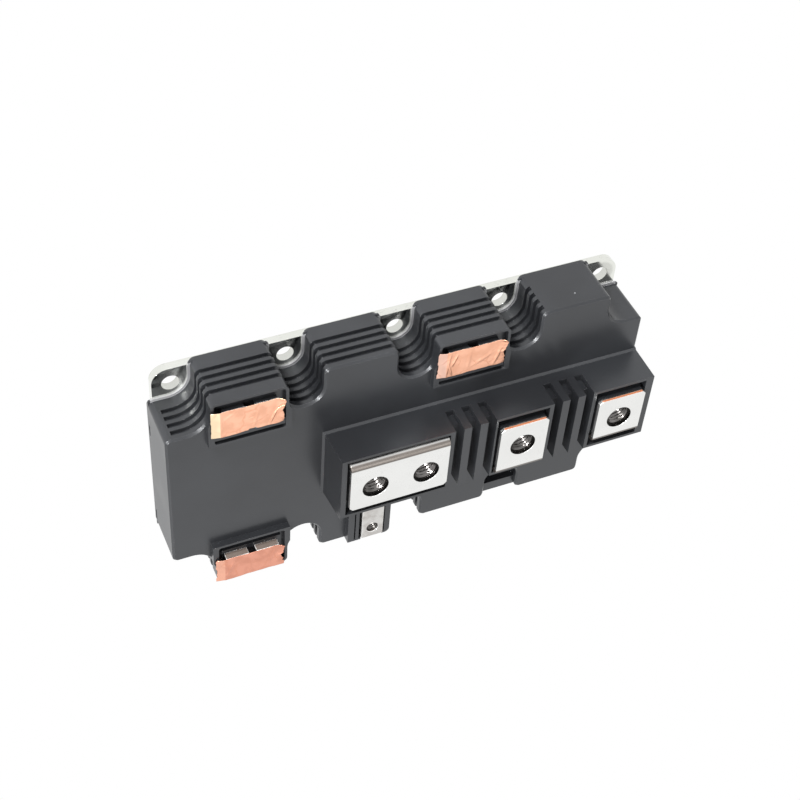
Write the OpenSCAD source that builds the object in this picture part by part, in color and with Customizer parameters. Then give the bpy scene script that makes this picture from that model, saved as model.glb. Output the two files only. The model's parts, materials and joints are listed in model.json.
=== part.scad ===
// Half-bridge IGBT power module: a moulded black housing on a nickel-plated
// copper baseplate, with a raised strip of bolted power terminals, paired
// control terminals bridged by copper shorting foils, and the chips inside.
// +X runs along the housing, +Y across it, +Z out of the cooling face.
// The origin is at the centre of the cooling face.

/* [Overall] */
// Length of the housing
body_l = 172; // [170:1:208]
// Width of the housing
body_w = 89; // [85:1:108]
// Height of the housing's top face above the cooling face
body_h = 22; // [21.8:0.2:27]
// Height of the power terminals' contact faces above the cooling face
terminal_h = 38; // [37:0.5:46]

/* [Baseplate] */
// Thickness of the baseplate
plate_t = 3; // [2:0.1:5]
// Step from the housing's end in to the baseplate's end
plate_step_l = 1.7; // [0.6:0.1:2.4]
// Step from the housing's side in to the baseplate's side
plate_step_w = 1.8; // [1:0.1:3]
// Radius of the baseplate's corners
plate_corner_r = 5.5; // [2:0.5:7]
// Depth of the housing's skirt down the baseplate's edge
skirt_h = 1; // [0.4:0.1:2]
// Gap between the skirt and the baseplate's edge
skirt_gap = 0.15; // [0.1:0.05:0.3]

/* [Mounting] */
// Distance between neighbouring mounting holes
bolt_pitch = 39; // [38:0.5:42]
// Distance of the hole rows from the housing's sides
bolt_inset = 8; // [7:0.1:9]
// Diameter of the mounting holes
bolt_d = 6; // [4.5:0.1:6.6]
// Radius of the recess round each hole
recess_r = 6.5; // [5.5:0.1:7]
// Radius of the inner corner of each end recess
end_recess_r = 8; // [5:0.5:9]
// Width of the lip at the foot of each recess
foot_lip = 0.8; // [0.4:0.1:1.2]
// Height of that lip
foot_lip_h = 0.6; // [0.3:0.1:1]
// Thickness of the bar that bridges the mouth of one recess
bar_t = 4.2; // [2:0.1:4.5]
// Step from the top face down to that bar
bar_drop = 2.5; // [1:0.5:6]

/* [Creepage grooves] */
// Number of grooves round the blocks
groove_n = 4; // [1:1:4]
// Height of each groove
groove_h = 1.8; // [1:0.1:2.2]
// Distance from groove to groove
groove_pitch = 3.25; // [3:0.05:3.4]
// Depth of the grooves
groove_depth = 1.5; // [0.8:0.1:1.8]
// Step from the top face down to the highest groove's middle
groove_drop = 3.25; // [3:0.05:4]
// Plain pier between the grooves and the housing's left end
pier = 2.8; // [2:0.1:5]

/* [Edges] */
// Radius of the blocks' upright corners
corner_r = 2; // [1:0.1:2.5]
// Chamfer along the housing's top edges
edge_c = 0.7; // [0.3:0.1:1]

/* [Cavity] */
// Thickness of the housing's end walls
end_wall = 4.5; // [3.5:0.1:6]
// Wall between the cavity and the recesses
side_wall = 3.3; // [3:0.1:4]
// Thickness of the housing's roof
roof_t = 2.5; // [2:0.1:3]
// Width of the adhesive bead under the housing
seal_w = 1.4; // [1:0.1:1.8]
// Height of the adhesive bead
seal_h = 0.8; // [0.4:0.1:1]

/* [Terminal strip] */
// Half-width of the strip at its foot
strip_foot = 14.7; // [14.6:0.1:16.5]
// Draft of the strip's side walls from foot to rim
strip_draft = 0.4; // [0.1:0.1:0.8]
// Left end of the strip
strip_x = -32; // [-34:0.1:-31.8]
// Draft of the strip's left end from foot to rim
strip_end_draft = 0.9; // [0.2:0.1:1.1]
// Fillet at the strip's foot
strip_fillet = 0.7; // [0.4:0.1:1.5]
// Step from the contact faces down to the strip's rim
rim_drop = 1.9; // [1.7:0.1:3]
// Depth of the pockets round the terminal seats, below the rim
pocket_depth = 3; // [1:0.1:4]
// Gap between a terminal and its pocket's wall
pocket_gap = 0.7; // [0.5:0.1:0.9]
// Gap between a supply terminal's free edge and its pocket's wall
free_gap = 2.8; // [1:0.1:3.4]
// Middle of each group of slots across the strip
slot_groups = [17.35, 54.55];
// Slots in each group
slot_n = 3; // [1:1:3]
// Distance from slot to slot
slot_pitch = 6.05; // [5:0.05:6.1]
// Width of the slots
slot_w = 3.2; // [1.5:0.1:3.3]
// Depth of the slots below the strip's rim
slot_depth = 4.6; // [1:0.1:6]
// Depth of the slots into the strip's side walls
slot_back = 2.4; // [1:0.1:3]
// Step from the top face up to the slots' foot in the side walls
slot_rise = 4.7; // [1:0.1:8]

/* [Power terminals] */
// Thickness of the copper
bus_t = 1.5; // [1:0.1:2]
// Outer radius of the copper's bend
bus_bend_r = 2; // [2:0.1:2.4]
// Diameter of the screw holes in the copper
bus_hole_d = 9.4; // [8.6:0.1:10]
// Left and right end of the output terminal
ac_x = [-28.5, 7.3];
// Distance between the output terminal's two screws
ac_pitch = 18.5; // [18:0.1:19]
// Width of each supply terminal
dc_w = 18.2; // [17:0.1:18.4]
// Middle of the positive supply terminal
plus_x = 35.5; // [35.2:0.1:35.8]
// Middle of the negative supply terminal
minus_x = 73.3; // [73:0.1:73.6]
// Width of the tongues that reach down to the substrates
tongue_w = 5; // [3:0.5:6]
// Length of the soldered feet
foot_l = 3; // [2:0.5:4]

/* [Power nuts] */
// Width across flats of the power nuts
nut_af = 13; // [12:0.1:13]
// Thickness of the power nuts
nut_h = 6.5; // [5:0.1:6.5]
// Core diameter of the power nuts' thread
nut_bore_d = 6.65; // [6.4:0.05:6.9]
// Clearance round a nut in its pocket
nut_gap = 0.1; // [0.05:0.05:0.2]
// Room for the screw's tip below a power nut
tip_room = 5; // [2:0.5:6]

/* [Control terminals] */
// Height of the control bosses above the top face
boss_h = 2.4; // [1.4:0.1:2.6]
// Length of the far bosses in from the housing's side
far_boss_w = 19.5; // [18.8:0.1:19.6]
// Length of the near boss in from the housing's side
near_boss_w = 18.4; // [17.8:0.1:19.6]
// Thickness of each boss's rim
boss_rim = 1; // [0.8:0.1:1.4]
// Width of the slot between a far boss's rim and its sill
sill_slot = 1.2; // [0.8:0.1:2]
// Width of the trough inside the near boss's rim
trough_w = 4.3; // [2:0.1:4.6]
// Width of a control lug
lug_w = 8.2; // [6:0.1:8.6]
// Thickness of a control lug
lug_t = 1; // [0.6:0.1:1.2]
// Distance between the two lugs of a pair
lug_pitch = 11; // [10.5:0.1:12]
// Step from the boss's rim up to the lugs' contact faces
lug_rise = 0.9; // [0.7:0.1:1.4]
// Distance from a lug's upright to its hole
lug_reach = 5.8; // [5.4:0.1:6]
// Distance from a lug's hole to its free end
lug_end = 4.4; // [4:0.1:4.6]
// Diameter of the hole in a lug
lug_hole_d = 4.5; // [4.2:0.1:4.8]
// Width of a lug's inner pin
pin_w = 1.2; // [0.8:0.1:1.6]
// Width across flats of the control nuts
small_nut_af = 7; // [6.5:0.1:7]
// Thickness of the control nuts
small_nut_h = 3.2; // [2.4:0.1:3.2]
// Core diameter of the control nuts' thread
small_nut_bore_d = 3.3; // [3.1:0.05:3.4]
// Room for the screw's tip below a control nut
small_tip_room = 3; // [1:0.5:3.5]
// Middle of the single sense lug
sense_x = -13.5; // [-14:0.1:-13]
// Left end of the sense lug's boss
sense_boss_x = -22.6; // [-24:0.1:-22]
// Distance from the sense lug's upright to its hole
sense_reach = 15; // [14.6:0.1:15.2]
// Distance from the sense lug's hole to its free end
sense_end = 4.6; // [4:0.1:4.8]
// Gap beside the sense lug in its boss
sense_gap = 0.8; // [0.4:0.1:1]

/* [Shorting foils] */
// Thickness of the copper foil
foil_t = 0.15; // [0.1:0.05:0.3]
// Width of the foil
foil_w = 11.2; // [9:0.1:11.4]
// Length of the foil across a pair of lugs
foil_l = 20.4; // [20:0.1:21.5]
// Length of the tail folded down past the left lug
foil_tail = 3; // [1:0.1:3]
// Drop of the folded tail
foil_fold = 0.7; // [0.3:0.1:1]

/* [Substrates and chips] */
// Length of a ceramic tile
tile_l = 52; // [48:0.5:53]
// Width of a ceramic tile
tile_w = 25; // [24:0.5:26]
// Distance between neighbouring tiles along the module
tile_pitch = 54; // [53.5:0.5:54.5]
// Distance between the two rows of tiles
row_pitch = 27; // [26.5:0.5:28]
// Thickness of each copper layer
copper_t = 0.3; // [0.2:0.1:0.4]
// Thickness of the ceramic
ceramic_t = 0.4; // [0.3:0.1:0.6]
// Edge of an IGBT chip
igbt_a = 9.8; // [8:0.1:10]
// Edge of a diode chip
diode_a = 8; // [6:0.1:9]
// Thickness of the chips
chip_t = 0.3; // [0.2:0.05:0.4]
// Diameter of the bond wires
wire_d = 0.4; // [0.3:0.05:0.5]
// Bond wires on each chip
wires_n = 3; // [1:1:3]
// Height of the gel over the baseplate
gel_h = 7; // [6:0.5:10]

/* [Hidden] */
$fn = 64;
tiny = 0.01;

half_l = body_l / 2;
half_w = body_w / 2;

// mounting holes: five along each side
bolt_y = half_w - bolt_inset;
bolt_x = [for (i = [-2:2]) i * bolt_pitch];
recess_y = bolt_y + 0.5;
recess_floor = recess_y - recess_r;
bar_x = bolt_x[3];

// baseplate and housing foot
plate_l = body_l - 2 * plate_step_l;
plate_w = body_w - 2 * plate_step_w;
cavity_l = body_l - 2 * end_wall;
cavity_w = 2 * (recess_floor - side_wall);
cavity_top = body_h - roof_t;
cavity_r = 3;
seal_l = (cavity_l + plate_l) / 2;
seal_span = cavity_w + side_wall;

// creepage grooves
groove_top = body_h - groove_drop;

// terminal strip
rim_z = terminal_h - rim_drop;
seat_z = terminal_h - bus_t;
pocket_z = rim_z - pocket_depth;
strip_rim = strip_foot - strip_draft;
slot_z = body_h + slot_rise;
seat_step = 0.6;
rim_w = 1.1;

// power terminals: every screw lies on the module's centre line
pocket_y = strip_rim - rim_w;
free_edge = pocket_y - free_gap;
plus_bend = pocket_gap - pocket_y;
minus_bend = -9.9;
output_bend = pocket_y - pocket_gap;
output_free = -9.3;
output_mid = (ac_x[0] + ac_x[1]) / 2;
output_screws = [output_mid - ac_pitch / 2 + 0.4, output_mid + ac_pitch / 2 + 0.4];
power_screws = concat(output_screws, [plus_x, minus_x]);

// substrates
back_z = plate_t;
ceramic_z = back_z + copper_t;
track_z = ceramic_z + ceramic_t;
chip_z = track_z + copper_t;
wire_z = chip_z + chip_t;
tile_x = [for (i = [-1:1]) i * tile_pitch];
track_edge = 1;
track_l = tile_l - 2 * track_edge;
track_w = tile_w - 2 * track_edge;
track_gap = 1;
// on each tile the chips stand in one row on the outer track, in two pairs
row_y = 5.2;
split_y = row_y - igbt_a / 2 - 0.7;
chip_gap = 1.6;
pair_x = [-13.5, 12];
igbt_x = -(chip_gap + diode_a) / 2;
diode_x = (chip_gap + igbt_a) / 2;
chip_x = [for (p = pair_x) [p + igbt_x, p + diode_x]];
wire_step = 1.9;
wire_reach = 7.1;
// each terminal's tongues come down between two groups of wires
tongue_in_pair = (igbt_x + diode_x) / 2;
output_tongues = [tile_x[1] + pair_x[0] + tongue_in_pair, tile_x[1]];
plus_tongue = tile_x[2] + pair_x[0] + tongue_in_pair;
minus_tongue = tile_x[2] + track_l / 2 - tongue_w / 2 - 0.1;

// control terminals
boss_z = body_h + boss_h;
lug_z = boss_z + lug_rise;
lug_seat = lug_z - lug_t;
boss_floor = body_h + 0.4;
lug_run_z = body_h - 8;
pin_y = (row_pitch + track_w) / 2 - lug_t - 0.3;
pin_shift = 1;
block_mid = [for (i = [0:3]) (bolt_x[i] + bolt_x[i + 1]) / 2];
block_half = bolt_pitch / 2 - recess_r;
// each pair: its block, its side of the housing, where its uprights stand, its boss's length
upright_far = half_w - 14.4;
upright_near = half_w - 11.6;
pairs = [
    [block_mid[0], 1, upright_far, far_boss_w],
    [block_mid[0], -1, upright_near, near_boss_w],
    [block_mid[2], 1, upright_far, far_boss_w]
];
sill_drop = 0.4;
trough_depth = 1.2;
sense_boss_end = bolt_x[2] - recess_r;
sense_upright = pin_y;
sense_wall = 0.8;

// slots at the foot of each end wall
end_slot_y = [17.4, -25.4];
end_slot = [1.2, 5, 1];

// ---------------------------------------------------------------- helpers

// A box whose four sides move in from inset a at its foot to inset b at its top
module drawn_box(l, w, h, a, b) {
    intersection() {
        rotate([90, 0, 0]) linear_extrude(w + 2, center = true)
            polygon([[-l / 2 + a, 0], [l / 2 - a, 0], [l / 2 - b, h], [-l / 2 + b, h]]);
        rotate([90, 0, 90]) linear_extrude(l + 2, center = true)
            polygon([[-w / 2 + a, 0], [w / 2 - a, 0], [w / 2 - b, h], [-w / 2 + b, h]]);
    }
}

// The material taken off an upright corner at [0, 0] whose block lies towards +X +Y
module corner_off(r, h, a, b) {
    over = 1;
    difference() {
        translate([-over, -over, 0]) cube([r + over, r + over, h]);
        translate([r, r, -tiny]) cylinder(r1 = r - a, r2 = r - b, h = h + 2 * tiny, $fn = 32);
    }
}

// The space of a recess that is open towards +Y, seen from its bolt hole
module recess(h, a, b) {
    wall = half_w + 2 - recess_y;
    translate([0, recess_y, 0]) {
        cylinder(r1 = recess_r + a, r2 = recess_r + b, h = h);
        translate([0, wall, 0]) rotate([90, 0, 0]) linear_extrude(wall)
            polygon([[-recess_r - a, 0], [recess_r + a, 0], [recess_r + b, h], [-recess_r - b, h]]);
    }
}

// The space of a recess at the +X end, open towards +X and +Y
module end_recess(h, a, b) {
    r = end_recess_r;
    x = bolt_x[4] - recess_r;
    out_x = half_l + 2 - x;
    out_y = half_w + 2 - recess_floor;
    translate([x, recess_floor, 0]) {
        translate([r, r, 0]) cylinder(r1 = r + a, r2 = r + b, h = h);
        translate([0, out_y, 0]) rotate([90, 0, 0]) linear_extrude(out_y - r)
            polygon([[-a, 0], [out_x, 0], [out_x, h], [-b, h]]);
        translate([r, 0, 0]) rotate([90, 0, 90]) linear_extrude(out_x - r)
            polygon([[-a, 0], [out_y, 0], [out_y, h], [-b, h]]);
    }
}

// A slice of the housing's outline, from inset a at its foot to inset b at its top
module outline(h, a = 0, b = 0) {
    difference() {
        drawn_box(body_l, body_w, h, a, b);
        for (side = [0, 1]) mirror([0, side, 0]) {
            for (x = [bolt_x[1], bolt_x[2], bolt_x[3]]) translate([x, 0, -tiny]) {
                recess(h + 2 * tiny, a, b);
                for (s = [0, 1]) mirror([s, 0, 0]) translate([recess_r + a, half_w - a, 0])
                    mirror([0, 1, 0]) corner_off(corner_r - a, h + 2 * tiny, 0, b - a);
            }
            for (end = [0, 1]) mirror([end, 0, 0]) translate([0, 0, -tiny]) {
                end_recess(h + 2 * tiny, a, b);
                translate([bolt_x[4] - recess_r - a, half_w - a, 0]) rotate(180)
                    corner_off(corner_r - a, h + 2 * tiny, 0, b - a);
                translate([half_l - a, recess_floor - a, 0]) rotate(180)
                    corner_off(corner_r - a, h + 2 * tiny, 0, b - a);
            }
        }
    }
}

// A flat plate with rounded corners
module slab(l, w, h, r) {
    linear_extrude(h) difference() {
        square([l, w], center = true);
        for (sx = [0, 1], sy = [0, 1]) mirror([sx, 0]) mirror([0, sy])
            translate([l / 2 - r, w / 2 - r]) difference() {
                square(r + 1);
                circle(r);
            }
    }
}

// A hexagonal nut with chamfered corners, its thread along +Z
module nut(af, h, bore) {
    difference() {
        intersection() {
            cylinder(d = af / cos(30), h = h, $fn = 6);
            union() {
                cylinder(d1 = af * 0.98, d2 = af * 0.98 + h, h = h / 2);
                translate([0, 0, h / 2]) cylinder(d1 = af * 0.98 + h, d2 = af * 0.98, h = h / 2);
            }
        }
        translate([0, 0, -1]) cylinder(d = bore, h = h + 2);
    }
}

module nut_space(af, h) {
    cylinder(d = (af + 2 * nut_gap) / cos(30), h = h, $fn = 6);
}

// ------------------------------------------------------ baseplate and seal

module baseplate() {
    color("#c9cac4") difference() {
        slab(plate_l, plate_w, plate_t, plate_corner_r);
        for (x = bolt_x, s = [-1, 1]) translate([x, s * bolt_y, -1])
            cylinder(d = bolt_d, h = plate_t + 2);
    }
}

module seal_ring(h) {
    r = cavity_r + end_wall / 2;
    difference() {
        slab(seal_l + seal_w, seal_span + seal_w, h, r);
        translate([0, 0, -1]) slab(seal_l - seal_w, seal_span - seal_w, h + 2, r - seal_w);
    }
}

module adhesive_seal() {
    color("#8d8f8c") translate([0, 0, plate_t]) seal_ring(seal_h);
}

// ---------------------------------------------------------------- housing

// The grooves run from the left pier round every block to the fourth recess
module grooves() {
    stop = bolt_x[3] + recess_r + groove_depth;
    start = -half_l + pier;
    intersection() {
        for (i = [0:groove_n - 1]) translate([0, 0, groove_top - i * groove_pitch - groove_h / 2])
            difference() {
                translate([-half_l, -half_w - 1, 0]) cube([body_l, body_w + 2, groove_h]);
                translate([0, 0, -1]) outline(groove_h + 2, groove_depth, groove_depth);
            }
        translate([start, -half_w - 2, 0]) cube([stop - start, body_w + 4, body_h]);
    }
}

module strip_body() {
    foot = body_h - 1;
    rise = rim_z - foot;
    f = strip_fillet;
    intersection() {
        rotate([90, 0, 90]) linear_extrude(body_l, center = true) polygon([
            [-strip_foot - f, foot], [strip_foot + f, foot], [strip_foot + f, body_h],
            [strip_foot, body_h + f], [strip_rim, rim_z], [-strip_rim, rim_z],
            [-strip_foot, body_h + f], [-strip_foot - f, body_h]
        ]);
        translate([0, half_w, 0]) rotate([90, 0, 0]) linear_extrude(body_w) polygon([
            [strip_x - f, foot], [half_l, foot], [half_l, rim_z], [strip_x + strip_end_draft, rim_z],
            [strip_x, body_h + f], [strip_x - f, body_h]
        ]);
    }
}

// A pocket across the strip for the terminal that spans x0 to x1
module terminal_pocket(x0, x1) {
    translate([x0 - pocket_gap, -pocket_y, pocket_z]) cube([x1 - x0 + 2 * pocket_gap, 2 * pocket_y, rim_z]);
}

// The seat that stands in a pocket under its terminal
module seat(x0, x1, y0, y1) {
    translate([x0, y0, pocket_z - 1]) cube([x1 - x0, y1 - y0, seat_z - pocket_z + 1]);
}

module seats() {
    s = seat_step;
    seat(ac_x[0] + s, ac_x[1] - s, output_free + s, output_bend - bus_bend_r - s);
    for (t = [[plus_x, plus_bend], [minus_x, minus_bend]])
        seat(t[0] - dc_w / 2 + s, t[0] + dc_w / 2 - s, t[1] + bus_bend_r + 0.1, free_edge - s);
}

module pockets() {
    terminal_pocket(ac_x[0], ac_x[1]);
    for (x = [plus_x, minus_x]) terminal_pocket(x - dc_w / 2, x + dc_w / 2);
}

// Each slot crosses the rim as a channel and runs on down both side walls as a deeper groove
module creepage_slots() {
    for (mid = slot_groups, i = [0:slot_n - 1])
        translate([mid + (i - (slot_n - 1) / 2) * slot_pitch - slot_w / 2, 0, 0]) {
            translate([0, -half_w, rim_z - slot_depth]) cube([slot_w, body_w, terminal_h]);
            for (side = [0, 1]) mirror([0, side, 0])
                translate([0, strip_rim - slot_back, slot_z]) cube([slot_w, half_w, terminal_h]);
        }
}

// The outer form of one control boss: the block's own outline, carried up
module boss(p) {
    y0 = p[1] > 0 ? half_w - p[3] : -half_w;
    intersection() {
        translate([0, 0, body_h - 1]) outline(boss_h + 1);
        translate([p[0] - block_half - 1, y0, body_h - 1]) cube([2 * block_half + 2, p[3], boss_h + 1]);
    }
}

module boss_pocket(p) {
    l = 2 * (block_half - boss_rim);
    w = p[3] - 2 * boss_rim;
    translate([p[0], p[1] * (half_w - p[3] / 2), boss_floor]) slab(l, w, boss_h, 0.9);
}

// The sill between a far boss's slot and its lugs' uprights
module boss_sill(p) {
    l = 2 * (block_half - boss_rim) + tiny;
    y0 = half_w - p[3] + boss_rim + sill_slot;
    translate([p[0] - l / 2, y0, body_h]) cube([l, p[2] - y0, boss_z - sill_drop - body_h]);
}

// The trough between the near boss's rim and its lugs' uprights
module boss_trough(p) {
    l = 2 * (block_half - boss_rim) - 2;
    y0 = half_w - p[3] + boss_rim;
    translate([p[0] - l / 2, -y0 - trough_w, boss_floor - trough_depth])
        cube([l, trough_w, trough_depth + 1]);
}

// The seat under one lug, which holds its nut
module lug_seat_block(x, side, upright, reach = lug_reach, end = lug_end) {
    y0 = upright + lug_t + 0.1;
    y1 = upright + reach + end - 0.3;
    mirror([0, side > 0 ? 0 : 1, 0])
        translate([x - lug_w / 2 + 0.4, y0, body_h - 1])
            cube([lug_w - 0.8, y1 - y0, lug_seat - body_h + 1]);
}

module nut_hole(x, y) {
    translate([x, y, lug_seat - small_nut_h - 0.1]) nut_space(small_nut_af, small_nut_h + 1);
    translate([x, y, lug_seat - small_nut_h - small_tip_room]) cylinder(d = 4.6, h = small_tip_room + 1);
}

module power_nut_hole(x) {
    translate([x, 0, seat_z - nut_h - 0.1]) nut_space(nut_af, nut_h + 1);
    translate([x, 0, seat_z - nut_h - tip_room]) cylinder(d = 9, h = tip_room + 1);
}

// The sense lug's boss: a channel for the lug, and a thin groove beside it
module sense_boss() {
    l = sense_boss_end - sense_boss_x;
    w = half_w - strip_foot;
    groove_x = sense_boss_x + 2.4;
    channel_x = sense_x - lug_w / 2 - sense_gap;
    difference() {
        intersection() {
            translate([sense_boss_x, -half_w, body_h - 1]) cube([l, w, boss_h + 1.2]);
            translate([0, 0, body_h - 1]) outline(boss_h + 2);
        }
        for (cut = [[groove_x, 0.5], [channel_x, lug_w + 2 * sense_gap]])
            translate([cut[0], sense_wall - half_w, boss_floor])
                cube([cut[1], w - 2 * sense_wall, boss_h + 1]);
        translate([sense_x - lug_w / 2, -half_w - 1, lug_seat - lug_t / 2])
            cube([lug_w, sense_wall + 2, boss_h]);
    }
}

// Small moulding slots at the foot of each end wall
module end_slots() {
    for (end = [0, 1], y = end_slot_y) mirror([end, 0, 0])
        translate([-half_l - 1, y - end_slot[1] / 2, plate_t]) cube(end_slot + [1, 0, 0]);
}

// The bar across the mouth of one recess
module recess_bar() {
    w = 2 * (recess_r + groove_depth + 0.5);
    translate([bar_x - w / 2, -half_w, plate_t]) cube([w, bar_t, body_h - bar_drop - plate_t]);
}

// Everything that stands above the baseplate, before it is hollowed
module housing_solid() {
    skirt_z = plate_t - skirt_h;
    difference() {
        union() {
            translate([0, 0, skirt_z]) outline(body_h - edge_c - skirt_z);
            translate([0, 0, body_h - edge_c]) outline(edge_c, 0, edge_c);
        }
        grooves();
    }
    recess_bar();
    intersection() {
        translate([0, 0, plate_t]) outline(foot_lip_h, -foot_lip, -foot_lip);
        translate([-half_l, -half_w, 0]) cube([body_l, body_w, body_h]);
    }
    difference() {
        strip_body();
        pockets();
        creepage_slots();
    }
    seats();
    for (p = pairs) {
        difference() {
            boss(p);
            boss_pocket(p);
        }
        if (p[1] > 0) boss_sill(p);
        for (s = [-0.5, 0.5]) lug_seat_block(p[0] + s * lug_pitch, p[1], p[2]);
    }
    sense_boss();
    lug_seat_block(sense_x, -1, sense_upright, sense_reach, sense_end);
}

module housing() {
    color("#3c3d3f") difference() {
        housing_solid();
        translate([0, 0, plate_t - skirt_h - 1])
            slab(plate_l + 2 * skirt_gap, plate_w + 2 * skirt_gap, skirt_h + 1, plate_corner_r);
        slab(cavity_l, cavity_w, cavity_top, cavity_r);
        translate([0, 0, plate_t - 1]) seal_ring(seal_h + 1);
        end_slots();
        for (x = power_screws) power_nut_hole(x);
        for (p = pairs, s = [-0.5, 0.5]) {
            nut_hole(p[0] + s * lug_pitch, p[1] * (p[2] + lug_reach));
            lug_path(p[0] + s * lug_pitch, p[1], p[2], -2 * s * pin_shift);
        }
        for (p = pairs) if (p[1] < 0) boss_trough(p);
        nut_hole(sense_x, -sense_upright - sense_reach);
        lug_path(sense_x, -1, sense_upright, 0);
        leg_slot(output_mid, ac_x[1] - ac_x[0] - 8, output_bend - bus_t);
        leg_slot(plus_x, dc_w - 2, plus_bend);
        leg_slot(minus_x, dc_w - 2, minus_bend);
    }
}

// The way through the roof for a power terminal's leg
module leg_slot(x, w, y) {
    g = 0.1;
    translate([x - w / 2 - g, y - g, cavity_top - 1])
        cube([w + 2 * g, bus_t + 2 * g, terminal_h - cavity_top]);
}

// -------------------------------------------------------- power terminals

// Bent copper seen along +X: contact face, bend, leg and soldered foot.
// The bend is at y = 0 and the contact face runs towards +Y.
module bus_profile(reach) {
    r = bus_bend_r;
    z = terminal_h;
    translate([r, z - bus_t]) square([reach - r, bus_t]);
    translate([0, chip_z]) square([bus_t, z - r - chip_z]);
    translate([bus_t - tiny, chip_z]) square([foot_l, bus_t / 2]);
    intersection() {
        translate([r, z - r]) difference() {
            circle(r);
            circle(r - bus_t);
        }
        translate([0, z - r]) square(r);
    }
}

// One power terminal of width w over x, its leg narrowed to leg_w and tongues
module bus(w, reach, leg_w, tongues, chamfer) {
    over = 1;
    difference() {
        rotate([90, 0, 90]) linear_extrude(w, center = true) bus_profile(reach);
        for (s = [-1, 1]) translate([s * (leg_w + w) / 2, 0, 0])
            translate([-w / 2, -over, 0]) cube([w, reach, terminal_h - bus_bend_r - 1]);
        difference() {
            translate([-w, -over, 0]) cube([2 * w, reach, cavity_top - 4]);
            for (x = tongues) translate([x - tongue_w / 2, -over, -1]) cube([tongue_w, reach, terminal_h]);
        }
        for (s = [-1, 1]) translate([s * w / 2, reach, terminal_h])
            rotate(45) cube([chamfer, chamfer, 4 * bus_t], center = true);
    }
}

module output_terminal() {
    w = ac_x[1] - ac_x[0];
    color("#dcdcd8") difference() {
        translate([output_mid, output_bend, 0]) mirror([0, 1, 0])
            bus(w, output_bend - output_free, w - 8, [for (x = output_tongues) x - output_mid], 1.6);
        for (x = output_screws) translate([x, 0, seat_z - 1]) cylinder(d = bus_hole_d, h = bus_t + 2);
    }
}

module supply_terminal(x, bend, tongue_x) {
    color("#dcdcd8") difference() {
        translate([x, bend, 0]) bus(dc_w, free_edge - bend, dc_w - 2, [tongue_x - x], 1.8);
        translate([x, 0, seat_z - 1]) cylinder(d = bus_hole_d, h = bus_t + 2);
    }
}

module plus_terminal() {
    supply_terminal(plus_x, plus_bend, plus_tongue);
}

module minus_terminal() {
    supply_terminal(minus_x, minus_bend, minus_tongue);
}

module power_nuts() {
    color("#a9aaa8") for (x = power_screws) translate([x, 0, seat_z - nut_h]) nut(nut_af, nut_h, nut_bore_d);
}

// ------------------------------------------------------ control terminals

// One lug: contact face, upright, inner run and the pin down to its track.
// The upright stands at y = upright and the contact face runs outwards.
module lug(x, side, upright, pin_x, reach = lug_reach, end = lug_end) {
    run = upright - pin_y;
    color("#c6c6c2") mirror([0, side > 0 ? 0 : 1, 0]) translate([x, upright, 0]) {
        difference() {
            translate([-lug_w / 2, 0, lug_seat]) cube([lug_w, reach + end, lug_t]);
            translate([0, reach, lug_seat - 1]) cylinder(d = lug_hole_d, h = lug_t + 2);
        }
        translate([-lug_w / 2, 0, boss_floor]) cube([lug_w, lug_t, lug_z - boss_floor]);
        translate([pin_x - pin_w / 2, 0, lug_run_z]) cube([pin_w, lug_t, lug_z - lug_run_z]);
        translate([pin_x - pin_w / 2, -run, lug_run_z]) cube([pin_w, run + lug_t, lug_t]);
        translate([pin_x - pin_w / 2, -run, chip_z]) cube([pin_w, lug_t, lug_run_z - chip_z + lug_t]);
    }
}

// The way through the housing for a lug's upright and inner run
module lug_path(x, side, upright, pin_x) {
    g = 0.05;
    run = upright - pin_y;
    mirror([0, side > 0 ? 0 : 1, 0]) translate([x, upright, 0]) {
        translate([-lug_w / 2 - g, -g, boss_floor]) cube([lug_w + 2 * g, lug_t + 2 * g, lug_z]);
        translate([pin_x - pin_w / 2 - g, -g, lug_run_z - g])
            cube([pin_w + 2 * g, lug_t + 2 * g, lug_z - lug_run_z]);
        translate([pin_x - pin_w / 2 - g, -run - g, lug_run_z - g])
            cube([pin_w + 2 * g, run + lug_t + 2 * g, lug_t + 2 * g]);
    }
}

module pair_lug(p, s) {
    lug(p[0] + s * lug_pitch / 2, p[1], p[2], -s * pin_shift);
}

module upper_gate_lug() {
    pair_lug(pairs[2], -1);
}

module upper_emitter_lug() {
    pair_lug(pairs[2], 1);
}

module lower_gate_lug() {
    pair_lug(pairs[0], -1);
}

module lower_emitter_lug() {
    pair_lug(pairs[0], 1);
}

module thermistor_lug_a() {
    pair_lug(pairs[1], -1);
}

module thermistor_lug_b() {
    pair_lug(pairs[1], 1);
}

module sense_lug() {
    lug(sense_x, -1, sense_upright, 0, sense_reach, sense_end);
}

module control_nuts() {
    color("#a9aaa8") {
        for (p = pairs, s = [-0.5, 0.5])
            translate([p[0] + s * lug_pitch, p[1] * (p[2] + lug_reach), lug_seat - small_nut_h])
                nut(small_nut_af, small_nut_h, small_nut_bore_d);
        translate([sense_x, -sense_upright - sense_reach, lug_seat - small_nut_h])
            nut(small_nut_af, small_nut_h, small_nut_bore_d);
    }
}

// -------------------------------------------------------- shorting foils

// A strip of foil laid across both lugs of a pair, its left end folded down
module foil(p) {
    y0 = p[2] - 0.1;
    l = foil_l / 2;
    color("#e8a988") mirror([0, p[1] > 0 ? 0 : 1, 0])
        translate([p[0], y0 + foil_w, lug_z]) rotate([90, 0, 0]) linear_extrude(foil_w) polygon([
            [l, 0], [l, foil_t], [-l, foil_t], [-l - 0.5, foil_t - foil_fold],
            [-l - foil_tail, foil_t - foil_fold], [-l - foil_tail, -foil_fold],
            [-l - 0.5 - foil_t / 2, -foil_fold], [-l - foil_t / 2, 0]
        ]);
}

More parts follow.
